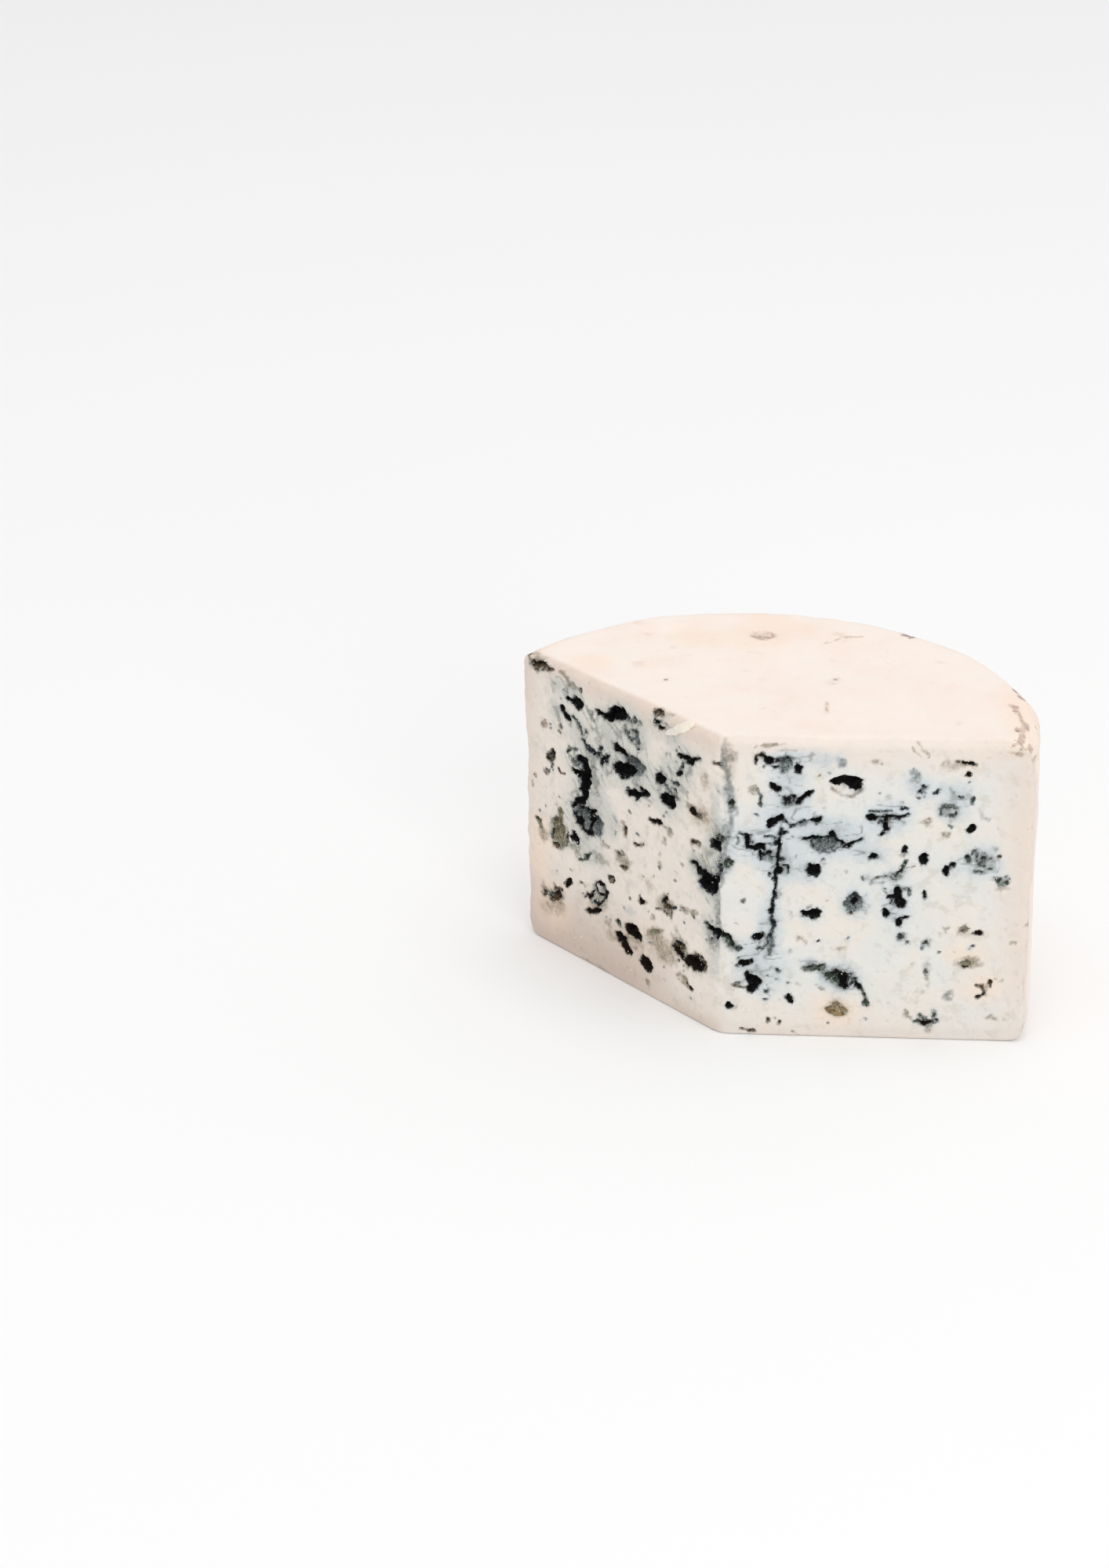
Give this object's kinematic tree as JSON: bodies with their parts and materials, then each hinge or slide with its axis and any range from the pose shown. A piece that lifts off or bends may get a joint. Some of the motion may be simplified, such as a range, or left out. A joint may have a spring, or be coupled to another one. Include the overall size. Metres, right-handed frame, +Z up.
{
  "type": "blue cheese wedge",
  "caption": "Large wedge of blue cheese cut from a tall drum-shaped wheel, its two cut faces open with mould pockets, standing on its flat bottom.",
  "frame": {"origin": "middle of the bounding box, on the flat bottom that the wedge stands on", "axes": "+Z up from the flat bottom; +Y away from the front edge where the two cut faces meet, along the line halfway between them; +X to the right as seen from in front of that edge, along the widest side"},
  "size_m": [0.1914, 0.1164, 0.1106],
  "materials": {
    "blue_cheese": "moist, slightly satin ivory paste with blue-grey to black mould in its pockets, and a thin pale peach rind on the top, rim and bottom"
  },
  "bodies": {
    "root": {"cheese_wedge": "blue_cheese"}
  },
  "joints": []
}
